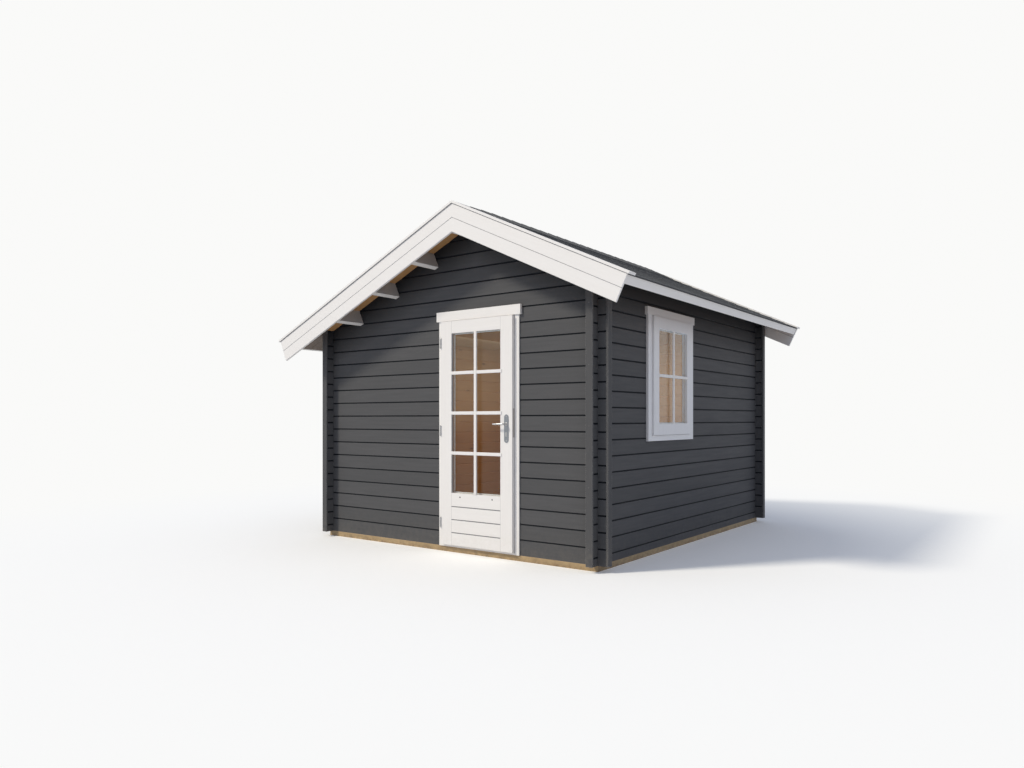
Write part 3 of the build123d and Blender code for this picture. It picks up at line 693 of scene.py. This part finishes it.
def deck_boards(name):
    """Matched boards from ridge to eaves, with a V joint below at every board's width in Y."""
    node = name + "_roof_deck"
    low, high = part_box(node)
    y, groove = groove_stations(low.y, high.y, deck_board, 7 * mm, 3.5 * mm)
    across = np.concatenate([y, y[::-1]])
    up = np.concatenate([groove, np.full(len(y), deck_thickness)])
    end = lower_end(name, node, deck_thickness)
    rings = np.stack([on_slope(name, plumb(name, up), up, across), on_slope(name, end, up, across)])
    made = piece(name + "_deck_boards", rings[None], "cabin", "timber_" + name)
    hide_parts(node)


def floor_boards():
    """Tongued floor boards along X, with a fine V joint above at every board's width in Y."""
    low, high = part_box("floor")
    y, groove = groove_stations(low.y, high.y, floor_board, 3 * mm, 2 * mm)
    across = np.concatenate([y, y[::-1]])
    z = np.concatenate([high.z - groove, np.full(len(y), low.z)])
    rings = np.stack([np.stack([np.full(len(z), x), across, z], axis=-1) for x in (low.x, high.x)])
    made = piece("floor_boards", rings[None], "cabin", "timber_across")
    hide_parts("floor")


# Felt shingles: their thickness, the height of a course that shows, a tab and its gap

shingle = 3.4 * mm
exposure = 143 * mm
tab, tab_gap = 333 * mm, 5 * mm
shingle_seeds = {"left": 11, "right": 12, "ridge": 21}


def shingles(name):
    """Lapped tabs: each butt lies on the course below, two felts high, and thins to one felt
    under the next butt. Every other course is shifted by half a tab."""
    random = np.random.default_rng(shingle_seeds[name])
    overhang, first_shift, least_tab = 9 * mm, 110 * mm, 20 * mm
    start = lower_end(name, name + "_roofing", roofing_top) + overhang
    base = roofing_top + 0.2 * mm
    made = []
    for number in range(int(start / exposure)):
        tab_edges = np.arange(roof_near - tab / 2 * (number % 2) - first_shift, roof_far + tab, tab)
        left = np.clip(tab_edges[:-1] + tab_gap / 2, roof_near, roof_far)
        right = np.clip(tab_edges[1:] - tab_gap / 2, roof_near, roof_far)
        keep = right - left > least_tab
        left, right = left[keep], right[keep]
        butt = start - number * exposure + random.uniform(-1, 1, len(left)) * mm
        top = start - (number + 1) * exposure - 2 * mm
        lift = shingle * (2 + random.uniform(0, 0.25, len(left)))
        under = base if number == 0 else base + shingle
        down = np.stack(np.broadcast_arrays(butt, butt, top, top), axis=1)
        up = np.stack(np.broadcast_arrays(under, base + lift, base + 0.9 * shingle, base), axis=1)
        made.append(np.stack([on_slope(name, down, up, y[:, None]) for y in (left, right)], axis=1))
    rings = np.concatenate(made)
    tones = random.uniform(0, 1, len(rings))
    piece(name + "_shingles", rings, "cabin", "felt", tones)


def ridge_shingles():
    """Caps bent over the ridge: each one's top runs straight from its lower edge to the crown,
    and its rear end lies one felt lower, under the next one's front edge. The crown comes down
    over the taper's length, s = t t (3 - 2 t), to meet the flat caps at the verges."""
    random = np.random.default_rng(shingle_seeds["ridge"])
    count, taper, gap = 26, 0.40, 0.2 * mm
    fronts = np.linspace(roof_near, roof_far, count + 1)[:-1]
    length = fronts[1] - fronts[0]
    wing, under = 125 * mm, roofing_top + shingle
    edge_height, verge_height, crown_rise = 12 * mm, 19.5 * mm, 10 * mm
    rings = []
    for y, drop in ((fronts, 0.0), (fronts + length - gap, shingle)):
        inset = np.clip(np.minimum(y - roof_near, roof_far - y) / taper, 0, 1)
        edge = roofing_top + edge_height - drop
        crown = roofing_top + verge_height + crown_rise * inset * inset * (3 - 2 * inset) - drop
        outer = [on_slope("left", wing, edge, y), on_slope("left", plumb("left", crown), crown, y),
                 on_slope("right", wing, edge, y)]
        inner = [on_slope("right", wing, under, y), on_slope("left", plumb("left", under), under, y),
                 on_slope("left", wing, under, y)]
        rings.append(np.stack(outer + inner, axis=1))
    rings = np.stack(rings, axis=1)
    made = piece("ridge_shingles", rings, "cabin", "felt",
                 random.uniform(0, 1, len(rings)))
    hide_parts("ridge_covering")


for name in sides:
    deck_boards(name)
    shingles(name)
floor_boards()
ridge_shingles()


# Glazing bars

def crossed_bars(name, body, low, high, rows, face, out, width, proud, sunk, laps):
    """A lattice in front of the glass: one upright and short cross bars each side of it.

    `low` and `high` are the opening's (across, z) corners. The bars stand proud of the leaf's
    face and reach the sunk depth behind it, clear of the glass. A cross bar's end rises onto the
    leaf's face, laps the stile and ends in a rounded nose."""
    across = X if abs(out[1]) > 0.5 else Y
    column = (low[0] + high[0]) / 2
    plane, nose, seat = face * np.abs(out), 4 * mm, -0.4 * mm
    length = high[1] - low[1]
    ends = [(0, -sunk, proud, 0), (length, -sunk, proud, 0)]
    upright = shaped(plane + column * across + low[1] * Z, Z, across, out, width, 3 * mm, ends)
    piece(name + "_upright", upright[None], body, "white_upright")
    cross = []
    for z in rows:
        for sign, far, lap in ((-1, low[0], laps[0]), (1, high[0], laps[1])):
            near = column + sign * width / 2
            run = abs(far - near)
            stations = [(0, -sunk, proud, 0), (run, -sunk, proud, 0),
                        (run + 0.1 * mm, seat, proud, 0), (run + lap - nose, seat, proud, 0),
                        (run + lap - 0.3 * nose, seat, proud - 0.9 * mm, 0.3 * nose),
                        (run + lap, seat, proud - 2.6 * mm, 0.8 * nose)]
            cross.append(shaped(plane + near * across + z * Z, sign * across, Z, out, width,
                                2.5 * mm, stations))
    piece(name + "_cross_bars", np.array(cross), body, "white_across")


def glazing_beads(name, body, low, high, glass, out, width, depth):
    """Four mitred beads round the glass, one along each side of the opening. A point (u, v) of
    their rounded section lies u in from that side and v off the glass, and both of its ends move
    in by u as well, so that the beads meet in mitres."""
    across = X if abs(out[1]) > 0.5 else Y
    section = np.array([(0, 0), (0, depth), (0.55 * width, 0.95 * depth), (0.85 * width, 0.7 * depth),
                        (width, 0.35 * depth), (width, 0)])
    corners = np.array([(low[0], low[1]), (high[0], low[1]), (high[0], high[1]), (low[0], high[1])])
    rings = []
    for corner, after in zip(corners, np.roll(corners, -1, axis=0)):
        along = (after - corner) / np.linalg.norm(after - corner)
        inward = np.array([-along[1], along[0]])
        both = []
        for place, turn in ((corner, 1), (after, -1)):
            flat = place + section[:, :1] * (inward + turn * along)
            both.append(glass * np.abs(out) + flat[:, :1] * across + flat[:, 1:] * Z
                        + section[:, 1:] * out)
        rings.append(both)
    piece(name, np.array(rings), body, "white_upright")


door_rows, window_rows = (0.821, 1.148, 1.476), (1.455,)
bead = (9 * mm, 8 * mm)
crossed_bars("door_bars", "door", pane_low, pane_high, door_rows, leaf_low.y, -Y, 27 * mm, 6 * mm,
             6 * mm, (7 * mm, 14 * mm))
glazing_beads("door_glazing_beads", "door", pane_low, pane_high, door_glass[1].y, Y, *bead)
crossed_bars("window_bars", "cabin", light_low, light_high, window_rows, sash_high.x, X, 26 * mm,
             5 * mm, 6 * mm, (9 * mm, 9 * mm))
glazing_beads("window_glazing_beads", "cabin", light_low, light_high, window_glass[0].x, -X, *bead)


# Fittings

def heads(name, centres, axis, radius, body, finish, rise=1.0, segments=12):
    """Domed heads of screws, plugs and nails, standing up along the axis from their centres."""
    profile = np.array([(radius, -0.3 * mm), (radius, 0.35 * rise * mm),
                        (0.72 * radius, 0.8 * rise * mm), (0.3 * radius, rise * mm)])
    rings = turned(centres, axis, profile, segments)
    piece(name, rings, body, finish, smooth=True)


plates_low, plates_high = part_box("lock_plates")
handle_low, handle_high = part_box("door_handle")
lock_x = handle_high.x - 8.5 * mm
lock_z = (handle_low.z + handle_high.z) / 2
plate_z = lock_z - 35 * mm


def lever():
    """Both levers and the spindle as one bent bar: a level path from tip to tip whose section is
    an ellipse, taller than deep along the grips, round at the necks and thin in the leaf."""
    stand_off, length, bend = 46 * mm, 105 * mm, 13 * mm
    root, tip, depth, neck, spindle = 8.3 * mm, 6.4 * mm, 5.4 * mm, 7.8 * mm, 4.4 * mm
    turn, blend = np.linspace(0, math.pi / 2, 7), np.linspace(0, 1, 7)
    # Places along the grip, from the tip to the bend, and how full its section is at each
    run = np.array([105, 103.6, 101, 97, 70, 40, 18]) * mm
    swell = np.array([0.25, 0.62, 0.86, 1, 1, 1, 1])
    tall = tip + (root - tip) * (1 - run / length)
    through = [neck, neck, spindle]
    taller = np.concatenate([tall * swell, root + (neck - root) * blend, through])
    deeper = np.concatenate([depth * swell, depth + (neck - depth) * blend, through])
    path, high, deep = [], [], []
    for out, face in ((-1, leaf_low.y), (1, leaf_high.y)):
        far = face + out * stand_off
        half = np.concatenate([
            np.stack([lock_x - run, np.full(7, far)], axis=1),
            np.stack([lock_x - bend + bend * np.sin(turn), far - out * bend * (1 - np.cos(turn))], axis=1),
            [(lock_x, face + out * collar) for collar in (4 * mm, 3.6 * mm, 3.4 * mm)]])
        order = slice(None) if out < 0 else slice(None, None, -1)
        path.append(half[order])
        high.append(taller[order])
        deep.append(deeper[order])
    path = np.concatenate(path)
    path = np.column_stack([path, np.full(len(path), lock_z)])
    rings = swept(path, np.concatenate(high), np.concatenate(deep))
    made = piece("lever_and_spindle", rings, "handle", "lever_steel", smooth=True)
    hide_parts("door_handle")


def key_cylinder():
    """Lock cylinder through both plates: a round barrel with a straight tail, drawn as one
    outline of mirrored halves, from the top round to the tail and back."""
    angle = np.linspace(math.radians(85), math.radians(-54), 9)
    right = np.concatenate([np.stack([8.5 * np.cos(angle), 8.5 * np.sin(angle)], axis=1),
                            [(5, -9), (5, -24), (3, -25)]])
    outline = np.concatenate([right, right[::-1] * (-1, 1)]) * mm
    centre = np.array([lock_x, 0, lock_z - 72 * mm])
    flat = centre + outline[:, :1] * X + outline[:, 1:] * Z
    proud, half_slot = 2.5 * mm, 4.5 * mm
    ends = ((plates_low.y - proud, -1), (plates_high.y + proud, 1))
    rings = np.array([flat + y * Y for y, out in ends])
    piece("key_cylinder", rings[None], "door", "steel")
    section = np.array([(-0.9, -0.2), (-0.9, 0.25), (0.9, 0.25), (0.9, -0.2)]) * mm
    slots = [[centre + y * Y + up * Z + (section[:, :1] * X + section[:, 1:] * out * Y)
              for up in (-half_slot, half_slot)] for y, out in ends]
    piece("key_slots", np.array(slots), "door", "plug")


lever()
key_cylinder()
collar_profile = np.array([(13, -0.3), (13, 0.8), (11.5, 1.6), (8.6, 1.8)]) * mm
for place, y, axis in (("outside", plates_low.y, -Y), ("inside", plates_high.y, Y)):
    centres = [(lock_x, y, plate_z + rise) for rise in (95 * mm, -95 * mm)]
    heads("plate_screws_" + place, centres, axis, 4.2 * mm, "door", "steel", 1.3)
    collar = turned([(lock_x, y, lock_z)], axis, collar_profile, 28)
    piece("lever_collar_" + place, collar, "door", "steel", smooth=True)
plug_places, plug_z = (0.172, 0.505), 0.463
heads("door_plugs", [(x, leaf_low.y, plug_z) for x in plug_places], -Y, 6 * mm, "door",
      "plug", 1.4, 16)
heads("forend_screws", [(leaf_high.x, (leaf_low.y + leaf_high.y) / 2, lock_z + rise)
                        for rise in (112 * mm, -92 * mm)], X, 3.6 * mm, "door",
      "steel", 0.6)

# Caps on the hinge pins: the upper ends turn with the leaf, the lower ones stay on the frame
pin_x, pin_y = leaf_low.x - 3 * mm, leaf_low.y - 5 * mm
cap_profile = np.array([(5.2, -0.2), (6.0, 0.5), (6.0, 1.6), (4.6, 3.0), (1.8, 3.6)]) * mm
upper_ends, lower_ends = (1.769, 1.044, 0.286), (1.687, 0.962, 0.204)
for body, ends, axis in (("door", upper_ends, Z), ("cabin", lower_ends, -Z)):
    rings = turned([(pin_x, pin_y, z) for z in ends], axis, cap_profile, 18)
    piece("hinge_caps_" + body, rings, body, "steel", smooth=True)

# Screws of the cover boards, in the middle of each board, and nails of the bargeboards
covers_low, covers_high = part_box("corner_covers")
screw_heights = np.arange(0.17, 2.0, 0.44)
for name, axis, faces, middles in (
        ("left_right", X, (covers_low.x, covers_high.x), (front_face + wall / 2, back_face - wall / 2)),
        ("front_back", Y, (covers_low.y, covers_high.y), (left_face + wall / 2, right_face - wall / 2))):
    for word, face, sign in (("low", faces[0], -1), ("high", faces[1], 1)):
        points = [(face, m, z) if axis is X else (m, face, z)
                  for m in middles for z in screw_heights]
        heads("cover_screws_%s_%s" % (name, word), points, sign * axis, 3.6 * mm, "cabin",
              "covers", 0.8, 10)
first_nail, nail_spacing, last_nail = 0.14, 0.52, 0.1
for name in sides:
    end = lower_end(name, name + "_roofing", roofing_top) - last_nail
    downs = np.arange(first_nail, end, nail_spacing)
    for board, ups in (("upper", (40, -8)), ("lower", (-58, -106))):
        low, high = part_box("%s_%s_bargeboards" % (name, board))
        for word, face, sign in (("front", low.y, -1), ("back", high.y, 1)):
            points = np.concatenate([on_slope(name, downs, up * mm, face) for up in ups])
            heads("%s_%s_board_nails_%s" % (name, board, word), points, sign * Y, 2.8 * mm, "cabin",
                  "white_upright", 0.5, 10)


# Stage: camera, sun, lamps in the room, sky and floor

def staged(name, data):
    """An object of that data, linked into the scene."""
    made = bpy.data.objects.new(name, data)
    bpy.context.scene.collection.objects.link(made)
    return made


def seen_directly(tree):
    """1 for a ray from the camera, off a mirror or through glass, and 0 for light that falls."""
    path = add(tree, "ShaderNodeLightPath").outputs
    either = math_node(tree, "ADD", path["Is Camera Ray"], path["Is Glossy Ray"])
    return math_node(tree, "ADD", either, path["Is Transmission Ray"], clamp=True)


camera = staged("camera", bpy.data.cameras.new("camera"))
camera.data.lens = 26.551
camera.data.sensor_width = 36.0
camera.data.shift_y = 0.0342
camera.location = (4.1872, -6.3092, 1.0998)
camera.rotation_euler = (math.pi / 2, 0, math.radians(36.7211))
bpy.context.scene.camera = camera

sun = staged("sun", bpy.data.lights.new("sun", "SUN"))
sun.data.energy = 2.36
sun.data.color = (1.0, 0.93, 0.783)
sun.data.angle = math.radians(9.5)
sun_elevation, sun_heading = math.radians(41), math.radians(37.5)
sun.rotation_euler = (math.pi / 2 - sun_elevation, 0, -sun_heading)

# A warm lamp over the walls and a cool one up into the gables
room_lamps = []
for name, height, tilt, energy, colour in (("room_lamp_down", 2.02, 0, 10.0, (1.0, 0.74, 0.30)),
                                           ("room_lamp_up", 0.90, math.pi, 26.0, (0.40, 0.66, 1.0))):
    lamp = staged(name, bpy.data.lights.new(name, "AREA"))
    lamp.data.shape = "RECTANGLE"
    lamp.data.size, lamp.data.size_y = 1.6, 2.2
    lamp.data.energy, lamp.data.color = energy, colour
    lamp.location, lamp.rotation_euler = (0.1, 0.15, height), (tilt, 0, 0)
    lamp.visible_camera = lamp.visible_glossy = lamp.visible_transmission = False
    room_lamps.append(lamp)

backdrop, sky_light = (0.955, 0.955, 0.945, 1), (0.375, 0.425, 0.53, 1)
world = bpy.data.worlds.new("sky")
bpy.context.scene.world = world
world.use_nodes = True
tree = world.node_tree
shown = mix(tree, seen_directly(tree), sky_light, backdrop)
tree.links.new(shown, tree.nodes["Background"].inputs["Color"])


def floor_material(fade_from=2.6, fade_to=6.6):
    """Pale floor: white diffuse with a little glow to the eye, fading to the backdrop's colour
    with the distance from the cabin."""
    made, tree, shader, coords = material("pale_floor")
    distance = add(tree, "ShaderNodeVectorMath", {0: coords["Object"]}, operation="LENGTH")
    fade = ramp(tree, distance.outputs["Value"], fade_from, fade_to)
    plain = add(tree, "ShaderNodeBsdfDiffuse", {"Color": (0.80, 0.80, 0.80, 1)})
    bright = add(tree, "ShaderNodeBsdfDiffuse", {"Color": (0.98, 0.98, 0.98, 1)})
    glow = add(tree, "ShaderNodeEmission", {"Color": (1.0, 0.93, 0.84, 1), "Strength": 0.085})
    lit = add(tree, "ShaderNodeAddShader", {0: bright.outputs[0], 1: glow.outputs[0]})
    far = add(tree, "ShaderNodeEmission", {"Color": backdrop, "Strength": 1.0})
    to_eye = add(tree, "ShaderNodeMixShader", {0: fade, 1: lit.outputs[0], 2: far.outputs[0]})
    both = add(tree, "ShaderNodeMixShader", {0: seen_directly(tree), 1: plain.outputs[0],
                                             2: to_eye.outputs[0]})
    tree.links.new(both.outputs[0], tree.nodes["Material Output"].inputs["Surface"])
    tree.nodes.remove(shader)
    return made


reach = 60.0
mesh = bpy.data.meshes.new("floor_plane")
mesh.from_pydata([(-reach, -reach, 0), (reach, -reach, 0), (reach, reach, 0), (-reach, reach, 0)],
                 [], [(0, 1, 2, 3)])
mesh.materials.append(floor_material())
ground = staged("floor_plane", mesh)

# The room's lamps don't shine on the ground outside
beside = bpy.data.collections.new("unlit_by_room_lamps")
beside.objects.link(ground)
beside.collection_objects[0].light_linking.link_state = "EXCLUDE"
for lamp in room_lamps:
    lamp.light_linking.receiver_collection = beside

bpy.context.scene.view_settings.view_transform = "Standard"
